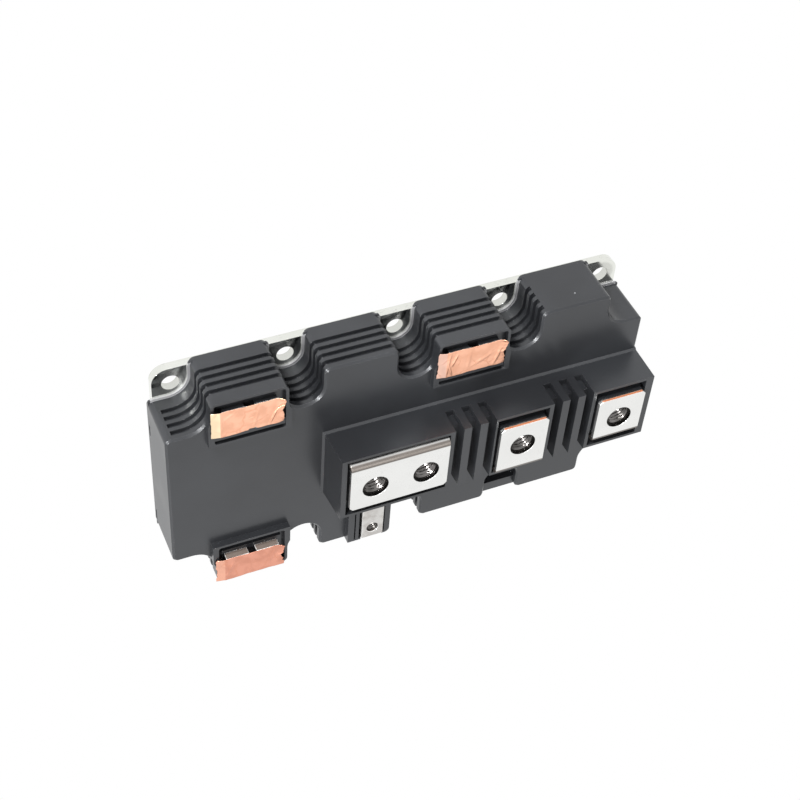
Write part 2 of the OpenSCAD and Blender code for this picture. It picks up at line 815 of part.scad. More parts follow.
module upper_gate_foil() {
    foil(pairs[2]);
}

module lower_gate_foil() {
    foil(pairs[0]);
}

module thermistor_foil() {
    foil(pairs[1]);
}

// ---------------------------------------------------- substrates and chips

// Two mirrored rows of tiles; on each, +Y points away from the centre line
module each_tile() {
    for (x = tile_x, side = [0, 1]) mirror([0, side, 0]) translate([x, row_pitch / 2, 0]) children();
}

module flat(l, w, z, h) {
    translate([-l / 2, -w / 2, z]) cube([l, w, h]);
}

module substrate_backs() {
    color("#c77c4f") each_tile() flat(track_l, track_w, back_z, copper_t);
}

module substrate_ceramics() {
    color("#ecece6") each_tile() flat(tile_l, tile_w, ceramic_z, ceramic_t);
}

// Two tracks on each tile: the outer one under the chips, the inner one under the wires' ends
module substrate_tracks() {
    inner_w = split_y - track_gap / 2 + track_w / 2;
    outer_w = track_w - track_gap - inner_w;
    color("#c77c4f") each_tile() {
        translate([0, (inner_w - track_w) / 2, 0]) flat(track_l, inner_w, track_z, copper_t);
        translate([0, (track_w - outer_w) / 2, 0]) flat(track_l, outer_w, track_z, copper_t);
    }
}

module igbt_chips() {
    color("#5a5f6e") each_tile() for (c = chip_x)
        translate([c[0], row_y, 0]) flat(igbt_a, igbt_a, chip_z, chip_t);
}

module diode_chips() {
    color("#6e7484") each_tile() for (c = chip_x)
        translate([c[1], row_y, 0]) flat(diode_a, diode_a, chip_z, chip_t);
}

// A wire arched from a chip's middle back to the inner track
module wire() {
    r = wire_reach / 2;
    translate([0, row_y - r, wire_z]) rotate([90, 0, 90])
        rotate_extrude(angle = 180, $fn = 32) translate([r, 0]) circle(d = wire_d, $fn = 16);
    translate([0, row_y - wire_reach, chip_z]) cylinder(d = wire_d, h = chip_t, $fn = 16);
}

module bond_wires() {
    color("#d9d9d6") each_tile() for (pair = chip_x, x = pair, i = [0:wires_n - 1])
        translate([x + (i - (wires_n - 1) / 2) * wire_step, 0, 0]) wire();
}

module thermistor() {
    color("#3a6a4a") translate([tile_x[0] - 8, -row_pitch / 2 + 8, 0]) flat(3.2, 1.6, chip_z, 1);
}

// The gel that fills the foot of the cavity round everything in it
module silicone_gel() {
    color("#dfe3e0") difference() {
        translate([0, 0, plate_t]) slab(cavity_l, cavity_w, gel_h, cavity_r);
        substrate_backs();
        substrate_ceramics();
        substrate_tracks();
        igbt_chips();
        diode_chips();
        bond_wires();
        thermistor();
        output_terminal();
        plus_terminal();
        minus_terminal();
        for (p = pairs, s = [-1, 1]) pair_lug(p, s);
        sense_lug();
    }
}

// ------------------------------------------------------------ which node

baseplate();
adhesive_seal();
housing();
output_terminal();
plus_terminal();
minus_terminal();
power_nuts();
upper_gate_lug();
upper_emitter_lug();
lower_gate_lug();
lower_emitter_lug();
thermistor_lug_a();
thermistor_lug_b();
sense_lug();
control_nuts();
upper_gate_foil();
lower_gate_foil();
thermistor_foil();
substrate_backs();
substrate_ceramics();
substrate_tracks();
igbt_chips();
diode_chips();
bond_wires();
thermistor();
silicone_gel();
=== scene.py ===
import json
import math

import bmesh
import bpy
import numpy as np
from mathutils import Matrix, Vector


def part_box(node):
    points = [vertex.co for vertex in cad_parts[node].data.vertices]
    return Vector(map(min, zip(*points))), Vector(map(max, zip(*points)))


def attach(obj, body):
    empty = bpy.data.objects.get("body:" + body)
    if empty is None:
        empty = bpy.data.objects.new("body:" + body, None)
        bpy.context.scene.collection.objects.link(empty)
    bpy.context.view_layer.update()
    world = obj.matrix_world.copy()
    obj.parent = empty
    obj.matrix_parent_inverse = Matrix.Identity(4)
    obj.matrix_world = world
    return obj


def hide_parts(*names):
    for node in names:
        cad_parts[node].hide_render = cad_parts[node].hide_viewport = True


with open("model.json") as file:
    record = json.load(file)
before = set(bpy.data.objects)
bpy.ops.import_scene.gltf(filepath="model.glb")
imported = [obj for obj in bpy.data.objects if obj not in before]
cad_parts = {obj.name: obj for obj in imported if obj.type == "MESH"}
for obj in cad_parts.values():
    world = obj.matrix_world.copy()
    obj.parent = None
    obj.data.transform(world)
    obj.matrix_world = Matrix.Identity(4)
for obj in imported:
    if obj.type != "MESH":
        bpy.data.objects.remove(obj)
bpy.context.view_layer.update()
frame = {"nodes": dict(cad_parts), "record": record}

# ---------------------------------------------------------------- baseplate
# A 3 mm copper plate, nickel plated after milling. Ten screws clamp it to a
# heatsink, so the plating is duller where washers rub it round each hole.

MM = 0.001
EDGE_FACETS = 2
SHARP = math.radians(28)
FLAT = math.radians(0.5)
SCREW_PITCH = 39 * MM
SCREW_Y = 36.5 * MM
WASHER_IN = 4.6 * MM
WASHER_OUT = 5.8 * MM


def rounded_copy(node, name, width, edge_slot=-1, clamped=False, split=False):
    """Stands for a CAD node: its merged mesh, with each sharp edge rounded.

    The rounded edges take the finish in edge_slot, or that of their neighbours at -1.
    A clamped rounding narrows to what the shortest edge has room for. Split cuts each
    large face into triangles first, so that none closes over a bay once it is rounded.
    """
    mesh = frame["nodes"][node].data.copy()
    mesh.materials.clear()
    form = bmesh.new()
    form.from_mesh(mesh)
    bmesh.ops.remove_doubles(form, verts=form.verts, dist=0.001 * MM)
    bmesh.ops.dissolve_limit(form, angle_limit=FLAT, verts=form.verts, edges=form.edges)
    if split:
        many_sided = [face for face in form.faces if len(face.verts) > 4]
        bmesh.ops.triangulate(form, faces=many_sided)
    form.to_mesh(mesh)
    form.free()
    mesh.shade_smooth()
    piece = bpy.data.objects.new(name, mesh)
    bpy.context.scene.collection.objects.link(piece)
    rounding = piece.modifiers.new("rounded edges", "BEVEL")
    rounding.width = width
    rounding.segments = EDGE_FACETS
    rounding.limit_method = "ANGLE"
    rounding.angle_limit = SHARP
    rounding.material = edge_slot
    rounding.use_clamp_overlap = clamped
    flats = piece.modifiers.new("flat faces", "WEIGHTED_NORMAL")
    flats.weight = 100
    flats.keep_sharp = True
    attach(piece, "root")
    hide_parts(node)
    return piece


def put(tree, kind, inputs=None, **settings):
    """Adds a shader node with its settings, and gives each named input a value or a link."""
    node = tree.nodes.new("ShaderNode" + kind)
    for key, value in settings.items():
        setattr(node, key, value)
    for socket, value in (inputs or {}).items():
        if isinstance(value, bpy.types.NodeSocket):
            tree.links.new(value, node.inputs[socket])
        else:
            node.inputs[socket].default_value = value
    return node


def axes_of(tree, kind):
    """The three parts of the place (kind Object) or of the facing (kind Normal)."""
    source = put(tree, "TexCoord").outputs[kind]
    return put(tree, "SeparateXYZ", {0: source}).outputs


def math_of(tree, operation, first, second=0.0):
    """The result of one sum on two numbers."""
    return put(tree, "Math", {0: first, 1: second}, operation=operation).outputs[0]


def ramp(tree, value, low, high, start=0.0, end=1.0):
    """Carries a number smoothly from start to end as value passes from low to high."""
    spread = put(
        tree,
        "MapRange",
        {"Value": value, "From Min": low, "From Max": high, "To Min": start, "To Max": end},
        interpolation_type="SMOOTHSTEP",
    )
    return spread.outputs[0]


def blend_colour(tree, mask, base, over):
    """Lays one colour over another where the mask is 1."""
    mix = put(tree, "Mix", {0: mask}, data_type="RGBA")
    for socket, colour in ((6, base), (7, over)):
        if isinstance(colour, bpy.types.NodeSocket):
            tree.links.new(colour, mix.inputs[socket])
        else:
            mix.inputs[socket].default_value = (*colour, 1.0)
    return mix.outputs[2]


def new_finish(name):
    """A material, its tree and its shader."""
    finish = bpy.data.materials.new(name)
    finish.use_nodes = True
    return finish, finish.node_tree, finish.node_tree.nodes["Principled BSDF"]


def new_group(name, inputs, outputs):
    """An empty group with number inputs and outputs, and its two end nodes."""
    group = bpy.data.node_groups.new(name, "ShaderNodeTree")
    for label, value in inputs.items():
        socket = group.interface.new_socket(
            label, in_out="INPUT", socket_type="NodeSocketFloat"
        )
        socket.default_value = value
    for label in outputs:
        group.interface.new_socket(
            label, in_out="OUTPUT", socket_type="NodeSocketFloat"
        )
    return group, group.nodes.new("NodeGroupInput"), group.nodes.new("NodeGroupOutput")


def use_group(tree, group, **inputs):
    """Places a group in a material with its own values."""
    node = put(tree, "Group", node_tree=group)
    for label, value in inputs.items():
        node.inputs[label].default_value = value
    return node.outputs


def relief(tree, shader, height, depth, strength):
    """Feeds a height through a bump of so many metres to the shader's normal."""
    bump = put(
        tree, "Bump", {"Height": height, "Distance": depth, "Strength": strength}
    )
    tree.links.new(bump.outputs[0], shader.inputs["Normal"])


# Grain: fine noise for a matt skin, and slow clouds where a finish varies.
grain, taken, given = new_group(
    "grain", {"Grains": 3000.0, "Clouds": 40.0}, ["Height", "Clouds"]
)
place = put(grain, "TexCoord").outputs["Object"]
fine = put(
    grain, "TexNoise", {"Vector": place, "Scale": taken.outputs["Grains"], "Detail": 3.0}
)
slow = put(
    grain, "TexNoise", {"Vector": place, "Scale": taken.outputs["Clouds"], "Detail": 4.0}
)
grain.links.new(fine.outputs[0], given.inputs["Height"])
grain.links.new(
    ramp(grain, slow.outputs[0], 0.36, 0.64), given.inputs["Clouds"]
)

# Scratches: thin broken lines along one direction, from noise drawn out 40 times.
scratches, taken, given = new_group("scratches", {"Lines": 900.0, "Turn": 0.0}, ["Mask"])
place = put(scratches, "TexCoord").outputs["Object"]
turned = put(
    scratches,
    "VectorRotate",
    {"Vector": place, "Angle": taken.outputs["Turn"]},
    rotation_type="Z_AXIS",
)
drawn_out = put(
    scratches, "Mapping", {"Vector": turned.outputs[0], "Scale": (0.025, 1.0, 1.0)}
)
lines = put(
    scratches,
    "TexNoise",
    {"Vector": drawn_out.outputs[0], "Scale": taken.outputs["Lines"], "Detail": 2.0},
)
broken = put(scratches, "TexNoise", {"Vector": place, "Scale": 260.0, "Detail": 1.0})
thin = ramp(
    scratches,
    math_of(
        scratches, "ABSOLUTE", math_of(scratches, "SUBTRACT", lines.outputs[0], 0.5)
    ),
    0.0,
    0.03,
    1.0,
    0.0,
)
scratches.links.new(
    math_of(scratches, "MULTIPLY", thin, ramp(scratches, broken.outputs[0], 0.5, 0.62)),
    given.inputs["Mask"],
)

NICKEL = (0.80, 0.81, 0.76)
NICKEL_PALE = (0.86, 0.87, 0.82)
NICKEL_RUBBED = (0.36, 0.36, 0.34)

nickel, tree, shader = new_finish("nickel_plated_copper")
shader.inputs["Metallic"].default_value = 1.0
skin = use_group(tree, grain, Grains=2600.0, Clouds=55.0)
rubs = use_group(tree, scratches, Lines=1100.0, Turn=0.4)
where = axes_of(tree, "Object")
across = put(
    tree, "Math", {0: where[0], 1: -SCREW_PITCH / 2, 2: SCREW_PITCH / 2}, operation="WRAP"
).outputs[0]
along = math_of(tree, "SUBTRACT", math_of(tree, "ABSOLUTE", where[1]), SCREW_Y)
reach = math_of(
    tree,
    "SQRT",
    math_of(
        tree,
        "ADD",
        math_of(tree, "MULTIPLY", across, across),
        math_of(tree, "MULTIPLY", along, along),
    ),
)
washer = ramp(tree, reach, WASHER_IN, WASHER_OUT, 1.0, 0.0)
plated = blend_colour(tree, skin["Clouds"], NICKEL, NICKEL_PALE)
plated = blend_colour(
    tree, math_of(tree, "MULTIPLY", rubs["Mask"], 0.35), plated, NICKEL_RUBBED
)
plated = blend_colour(
    tree, math_of(tree, "MULTIPLY", washer, 0.35), plated, NICKEL_RUBBED
)
tree.links.new(plated, shader.inputs["Base Color"])
tree.links.new(
    math_of(
        tree,
        "ADD",
        ramp(tree, skin["Clouds"], 0.0, 1.0, 0.10, 0.16),
        math_of(tree, "MULTIPLY", washer, 0.05),
    ),
    shader.inputs["Roughness"],
)
relief(tree, shader, skin["Height"], 0.003 * MM, 0.2)

baseplate = rounded_copy("baseplate", "baseplate_plated", 0.25 * MM, clamped=True)
baseplate.data.materials.append(nickel)

# ---------------------------------------------------------------- ceramic tiles
# Six tiles: a thin ceramic sheet with a copper back that is soldered to the
# baseplate, and two etched copper tracks on top that carry the chips.

COPPER = (0.80, 0.40, 0.24)
COPPER_DULL = (0.58, 0.27, 0.16)
CERAMIC = (0.80, 0.79, 0.75)
CERAMIC_SHADE = (0.70, 0.69, 0.65)


def dress(node, finish):
    """Gives a CAD node that keeps its shape its finish."""
    piece = frame["nodes"][node]
    piece.data.materials.clear()
    piece.data.materials.append(finish)


copper, tree, shader = new_finish("bare_copper")
shader.inputs["Metallic"].default_value = 1.0
skin = use_group(tree, grain, Grains=4200.0, Clouds=120.0)
rubs = use_group(tree, scratches, Lines=2200.0, Turn=0.9)
worn = blend_colour(tree, skin["Clouds"], COPPER, COPPER_DULL)
worn = blend_colour(
    tree, math_of(tree, "MULTIPLY", rubs["Mask"], 0.4), worn, COPPER_DULL
)
tree.links.new(worn, shader.inputs["Base Color"])
tree.links.new(
    ramp(tree, skin["Clouds"], 0.0, 1.0, 0.28, 0.46), shader.inputs["Roughness"]
)
relief(tree, shader, skin["Height"], 0.01 * MM, 0.4)
dress("substrate_backs", copper)
dress("substrate_tracks", copper)

ceramic, tree, shader = new_finish("ceramic")
skin = use_group(tree, grain, Grains=5200.0, Clouds=160.0)
tree.links.new(
    blend_colour(tree, skin["Clouds"], CERAMIC, CERAMIC_SHADE),
    shader.inputs["Base Color"],
)
tree.links.new(
    ramp(tree, skin["Height"], 0.3, 0.7, 0.55, 0.7), shader.inputs["Roughness"]
)
relief(tree, shader, skin["Height"], 0.01 * MM, 0.5)
dress("substrate_ceramics", ceramic)

# ---------------------------------------------------------------- chips
# Transistor and diode chips, cut from silicon wafers and soldered to the
# tracks. The top is aluminium metal in a grid of cells over grey silicon.

SILICON = (0.085, 0.09, 0.105)
SILICON_DARK = (0.06, 0.065, 0.08)
CHIP_METAL = (0.42, 0.42, 0.44)
CELL = 0.9 * MM

silicon, tree, shader = new_finish("silicon")
where = axes_of(tree, "Object")
up = axes_of(tree, "Normal")[2]


def cell_line(along):
    """1 near each line of a grid with one line per cell."""
    off = put(tree, "Math", {0: along, 1: CELL / 2}, operation="PINGPONG").outputs[0]
    return ramp(tree, off, 0.03 * MM, 0.07 * MM, 1.0, 0.0)


lines = math_of(tree, "MAXIMUM", cell_line(where[0]), cell_line(where[1]))
metal = math_of(
    tree,
    "MULTIPLY",
    ramp(tree, up, 0.6, 0.9),
    math_of(tree, "SUBTRACT", 1.0, lines),
)
skin = use_group(tree, grain, Grains=6000.0, Clouds=220.0)
mottled = blend_colour(tree, skin["Clouds"], SILICON, SILICON_DARK)
tree.links.new(
    blend_colour(tree, metal, mottled, CHIP_METAL), shader.inputs["Base Color"]
)
tree.links.new(metal, shader.inputs["Metallic"])
tree.links.new(
    ramp(tree, skin["Clouds"], 0.0, 1.0, 0.22, 0.34), shader.inputs["Roughness"]
)
dress("igbt_chips", silicon)
dress("diode_chips", silicon)

# ---------------------------------------------------------------- bond wires
# Aluminium wires, 0.4 mm thick, ultrasonically welded in loops from the chips
# to the inner tracks. Each keeps the faint draw lines of its die.

ALUMINIUM = (0.78, 0.79, 0.80)
ALUMINIUM_DULL = (0.60, 0.61, 0.62)

aluminium, tree, shader = new_finish("wire_aluminium")
shader.inputs["Metallic"].default_value = 1.0
skin = use_group(tree, grain, Grains=5200.0, Clouds=300.0)
draw_lines = use_group(tree, scratches, Lines=5200.0, Turn=1.57)
drawn = blend_colour(tree, skin["Clouds"], ALUMINIUM, ALUMINIUM_DULL)
drawn = blend_colour(
    tree, math_of(tree, "MULTIPLY", draw_lines["Mask"], 0.5), drawn, ALUMINIUM_DULL
)
tree.links.new(drawn, shader.inputs["Base Color"])
tree.links.new(
    ramp(tree, skin["Clouds"], 0.0, 1.0, 0.24, 0.36), shader.inputs["Roughness"]
)
relief(tree, shader, skin["Height"], 0.005 * MM, 0.4)
dress("bond_wires", aluminium)

# ---------------------------------------------------------------- temperature sensor
# A small ceramic-bodied thermistor, soldered across a track gap by its two
# metal end caps.

SENSOR_BODY = (0.09, 0.15, 0.10)
SENSOR_DARK = (0.07, 0.12, 0.08)
END_CAP = (0.66, 0.66, 0.64)
CAP_FROM = 1.1 * MM

sensor_finish, tree, shader = new_finish("sensor_body")
low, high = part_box("thermistor")
where = axes_of(tree, "Object")
from_middle = math_of(
    tree, "ABSOLUTE", math_of(tree, "SUBTRACT", where[0], (low.x + high.x) / 2)
)
cap = ramp(tree, from_middle, CAP_FROM, CAP_FROM + 0.05 * MM)
skin = use_group(tree, grain, Grains=6000.0, Clouds=900.0)
body = blend_colour(tree, skin["Clouds"], SENSOR_BODY, SENSOR_DARK)
tree.links.new(blend_colour(tree, cap, body, END_CAP), shader.inputs["Base Color"])
tree.links.new(cap, shader.inputs["Metallic"])
tree.links.new(
    ramp(tree, skin["Height"], 0.3, 0.7, 0.35, 0.5), shader.inputs["Roughness"]
)
dress("thermistor", sensor_finish)

# ---------------------------------------------------------------- gel and seal
# Clear silicone gel, poured over the chips and cured, and a bead of grey
# silicone that glues the housing down to the baseplate.

GEL = (0.90, 0.92, 0.93)
GEL_WARM = (0.93, 0.90, 0.84)
SEALANT = (0.16, 0.16, 0.17)
SEALANT_PALE = (0.22, 0.22, 0.23)

gel, tree, shader = new_finish("gel")
shader.inputs["Transmission Weight"].default_value = 0.9
shader.inputs["IOR"].default_value = 1.41
skin = use_group(tree, grain, Grains=900.0, Clouds=60.0)
tree.links.new(
    blend_colour(tree, skin["Clouds"], GEL, GEL_WARM), shader.inputs["Base Color"]
)
tree.links.new(
    ramp(tree, skin["Clouds"], 0.0, 1.0, 0.06, 0.12), shader.inputs["Roughness"]
)
dress("silicone_gel", gel)

sealant, tree, shader = new_finish("sealant")
skin = use_group(tree, grain, Grains=2400.0, Clouds=180.0)
tree.links.new(
    blend_colour(tree, skin["Clouds"], SEALANT, SEALANT_PALE),
    shader.inputs["Base Color"],
)
tree.links.new(
    ramp(tree, skin["Height"], 0.3, 0.7, 0.4, 0.55), shader.inputs["Roughness"]
)
relief(tree, shader, skin["Height"], 0.03 * MM, 0.5)
dress("adhesive_seal", sealant)

# ---------------------------------------------------------------- housing
# One injection moulding in black glass-filled plastic. The mould is spark
# eroded, so its skin has a fine matt grain, and a few pale dust specks stick.

BLACK = (0.010, 0.0105, 0.012)
BLACK_PALE = (0.014, 0.015, 0.017)
DUST = (0.30, 0.31, 0.32)
DUST_CELLS = 150.0
DUST_SHARE = 0.022
# Painted highlight: the rounded edges take a paler grey than the faces, for the light they
# catch.
EDGE_HIGHLIGHT = (0.10, 0.102, 0.106)
EDGE_HIGHLIGHT_PALE = (0.15, 0.152, 0.156)
# Painted highlight: a pale grey band low on the moulding, just above the baseplate, for the
# light its rounded foot catches.
FOOT_HIGHLIGHT = (0.20, 0.20, 0.205)
FOOT_HIGHLIGHT_H = 0.7 * MM
FOOT_HIGHLIGHT_X = 0.8 * MM
FOOT_HIGHLIGHT_Y = 1.0 * MM
PLATE_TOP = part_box("baseplate")[1]

# Specks: sparse round spots, one in some of the cells of a scatter.
specks, taken, given = new_group(
    "specks", {"Cells": 200.0, "Share": 0.03, "Size": 0.06}, ["Mask"]
)
scatter = put(
    specks,
    "TexVoronoi",
    {
        "Vector": put(specks, "TexCoord").outputs["Object"],
        "Scale": taken.outputs["Cells"],
    },
)
chosen = put(specks, "SeparateColor", {0: scatter.outputs["Color"]}).outputs[0]
held = math_of(specks, "LESS_THAN", chosen, taken.outputs["Share"])
near = math_of(
    specks, "LESS_THAN", scatter.outputs["Distance"], taken.outputs["Size"]
)
specks.links.new(math_of(specks, "MULTIPLY", held, near), given.inputs["Mask"])


def moulded(name, black, pale, gloss, rough):
    """Black plastic with grain, clouds, dust, and a painted highlight, a pale grey band, at
    the foot of each recess.
    """
    finish, tree, shader = new_finish(name)
    shader.inputs["Specular IOR Level"].default_value = gloss
    shader.inputs["Specular Tint"].default_value = (0.96, 0.975, 1.0, 1.0)
    skin = use_group(tree, grain, Grains=2800.0, Clouds=26.0)
    dust = use_group(tree, specks, Cells=DUST_CELLS, Share=DUST_SHARE, Size=0.045)
    colour = blend_colour(tree, skin["Clouds"], black, pale)
    where = axes_of(tree, "Object")
    foot_highlight = math_of(tree, "LESS_THAN", where[2], PLATE_TOP.z + FOOT_HIGHLIGHT_H)
    for along, edge in (
        (where[0], PLATE_TOP.x + FOOT_HIGHLIGHT_X),
        (where[1], PLATE_TOP.y + FOOT_HIGHLIGHT_Y),
    ):
        within = math_of(tree, "LESS_THAN", math_of(tree, "ABSOLUTE", along), edge)
        foot_highlight = math_of(tree, "MULTIPLY", foot_highlight, within)
    # Painted highlight: the pale grey band at the foot of each recess.
    colour = blend_colour(tree, foot_highlight, colour, FOOT_HIGHLIGHT)
    colour = blend_colour(
        tree, math_of(tree, "MULTIPLY", dust["Mask"], 0.6), colour, DUST
    )
    tree.links.new(colour, shader.inputs["Base Color"])
    tree.links.new(
        ramp(tree, skin["Clouds"], 0.0, 1.0, rough, rough + 0.06),
        shader.inputs["Roughness"],
    )
    relief(tree, shader, skin["Height"], 0.02 * MM, 0.18)
    return finish


housing = rounded_copy(
    "housing", "housing_moulding", 0.42 * MM, edge_slot=1, clamped=True, split=True
)
housing.data.materials.append(moulded("moulding", BLACK, BLACK_PALE, 0.7, 0.28))
# The rounded edges' paler finish is a painted highlight.
housing.data.materials.append(moulded("moulding_edge_highlights", EDGE_HIGHLIGHT, EDGE_HIGHLIGHT_PALE, 1.0, 0.22))

# ---------------------------------------------------------------- nuts
# Steel hexagon nuts, M8 under the power bars and M4 under the control
# lugs, painted dark grey as painted shade for their sunk pockets. Each drops into a hexagon
# pocket of the moulding and has a real thread.

# Painted shade: the steel is painted dark grey for the nuts sunk in their pockets.
STEEL = (0.20, 0.19, 0.185)
STEEL_DULL = (0.10, 0.095, 0.09)
RIM = 0.97
M8 = {"across": 13.0 * MM, "core": 3.325 * MM, "crest": 4.0 * MM, "lead": 1.25 * MM}
M4 = {"across": 7.0 * MM, "core": 1.65 * MM, "crest": 2.0 * MM, "lead": 0.7 * MM}


def threaded_nut(size, height, turn_steps=96, lead_steps=8):
    """One closed ring: a profile carried round the axis.

    The bore's radius is a triangle wave of height minus the lead times the share of
    a turn, so the thread climbs. The outside is a hexagon (half its width over the
    cosine from the nearest flat), cut by a 30 degree cone at both ends.
    """
    turn = np.linspace(0, 2 * math.pi, turn_steps, endpoint=False)[:, None]
    rows = int(height / size["lead"] * lead_steps)
    rise = np.linspace(0, height, rows + 1)[None, :]
    phase = (rise / size["lead"] - turn / (2 * math.pi)) % 1.0
    depth = size["crest"] - size["core"]
    bore = size["core"] + depth * (1 - np.abs(2 * phase - 1))
    mouth = size["crest"] + 0.05 * MM - np.minimum(rise, height - rise)
    bore = np.maximum(bore, mouth)
    half = size["across"] / 2
    hexagon = half / np.cos(turn % (math.pi / 3) - math.pi / 6)
    rim = RIM * half
    reach = np.array([0.0, 0.3, 0.65, 1.0])[None, :] * (half / math.cos(math.pi / 6) - rim)
    drops = reach * math.tan(math.pi / 6)
    outer = np.minimum(hexagon, rim + reach)
    top = np.broadcast_to(height - drops, outer.shape)
    bottom = np.broadcast_to(drops[:, ::-1], outer.shape)
    radius = np.concatenate([bore, outer, outer[:, ::-1]], axis=1)
    level = np.concatenate([np.broadcast_to(rise, bore.shape), top, bottom], axis=1)
    x, y = radius * np.cos(turn), radius * np.sin(turn)
    count = radius.shape[1]
    here = np.arange(turn_steps * count).reshape(turn_steps, count)
    ahead = np.roll(here, -1, axis=0)
    faces = np.stack(
        [here, np.roll(here, -1, axis=1), np.roll(ahead, -1, axis=1), ahead], axis=-1
    )
    return np.stack([x, y, level], axis=-1).reshape(-1, 3), faces.reshape(-1, 4)


def mesh_piece(name, points, faces):
    """A mesh object from whole arrays of points and faces, that rides on the module."""
    mesh = bpy.data.meshes.new(name)
    mesh.from_pydata(points.tolist(), [], faces.tolist())
    mesh.shade_smooth()
    piece = bpy.data.objects.new(name, mesh)
    bpy.context.scene.collection.objects.link(piece)
    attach(piece, "root")
    return piece


def nuts_at(name, size, spots, low, high, **steps):
    """Copies of one nut at each (x, y) spot, from the low level to the high one."""
    points, faces = threaded_nut(size, high - low, **steps)
    spots = np.array([(x, y, low) for x, y in spots])
    every = (points[None] + spots[:, None]).reshape(-1, 3)
    shifts = np.arange(len(spots))[:, None, None] * len(points)
    piece = mesh_piece(name, every, (faces[None] + shifts).reshape(-1, 4))
    piece.data.set_sharp_from_angle(angle=math.radians(32))
    return piece


steel, tree, shader = new_finish("nut_steel")
shader.inputs["Metallic"].default_value = 1.0
skin = use_group(tree, grain, Grains=3600.0, Clouds=210.0)
rubs = use_group(tree, scratches, Lines=2600.0, Turn=0.0)
cut = blend_colour(tree, skin["Clouds"], STEEL, STEEL_DULL)
cut = blend_colour(tree, math_of(tree, "MULTIPLY", rubs["Mask"], 0.4), cut, STEEL_DULL)
tree.links.new(cut, shader.inputs["Base Color"])
tree.links.new(
    ramp(tree, skin["Clouds"], 0.0, 1.0, 0.18, 0.32), shader.inputs["Roughness"]
)
relief(tree, shader, skin["Height"], 0.01 * MM, 0.35)

threads = {
    mount["name"]: mount["pos_m"]
    for mount in frame["record"]["mounts"]
    if mount["kind"] == "threaded_hole"
}
low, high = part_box("power_nuts")
power_spots = [place[:2] for name, place in threads.items() if name != "sense_thread"]
power_nuts = nuts_at("power_nuts_threaded", M8, power_spots, low.z, high.z)
power_nuts.data.materials.append(steel)
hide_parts("power_nuts")

# The lug's hole is a fixed reach from its free end, on both sides of the module.
LUG_END = 4.4 * MM
PAIRED_LUGS = [
    "upper_gate_lug",
    "upper_emitter_lug",
    "lower_gate_lug",
    "lower_emitter_lug",
    "thermistor_lug_a",
    "thermistor_lug_b",
]
control_spots = [threads["sense_thread"][:2]]
for node in PAIRED_LUGS:
    low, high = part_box(node)
    far_side = low.y > 0
    control_spots.append(
        ((low.x + high.x) / 2, high.y - LUG_END if far_side else low.y + LUG_END)
    )
low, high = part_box("control_nuts")
control_nuts = nuts_at(
    "control_nuts_threaded", M4, control_spots, low.z, high.z, turn_steps=60
)
control_nuts.data.materials.append(steel)
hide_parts("control_nuts")

# ---------------------------------------------------------------- power terminals
# Copper bars, 1.5 mm thick, stamped, nickel plated and bent down into the
# housing. The press leaves the bend rougher, and the bend is painted dark as a painted
# reflection. The sheared end is bare copper.

PLATING = (0.83, 0.83, 0.815)
PLATING_SHADE = (0.77, 0.77, 0.755)
# This dark brown colours the scratches, and across each bend it is a painted reflection.
SCRATCH_AND_BEND_REFLECTION = (0.12, 0.10, 0.086)
SHEARED = (0.46, 0.17, 0.08)
# Painted shade: the punched holes' walls are painted near black, for the shade inside the
# holes.
HOLE_WALL_SHADE = (0.03, 0.028, 0.027)
BAR_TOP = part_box("output_terminal")[1].z
BEND_R = 2 * MM
SHEAR_TO = BAR_TOP - 1.0 * MM
HOLE_TO = 4.8 * MM


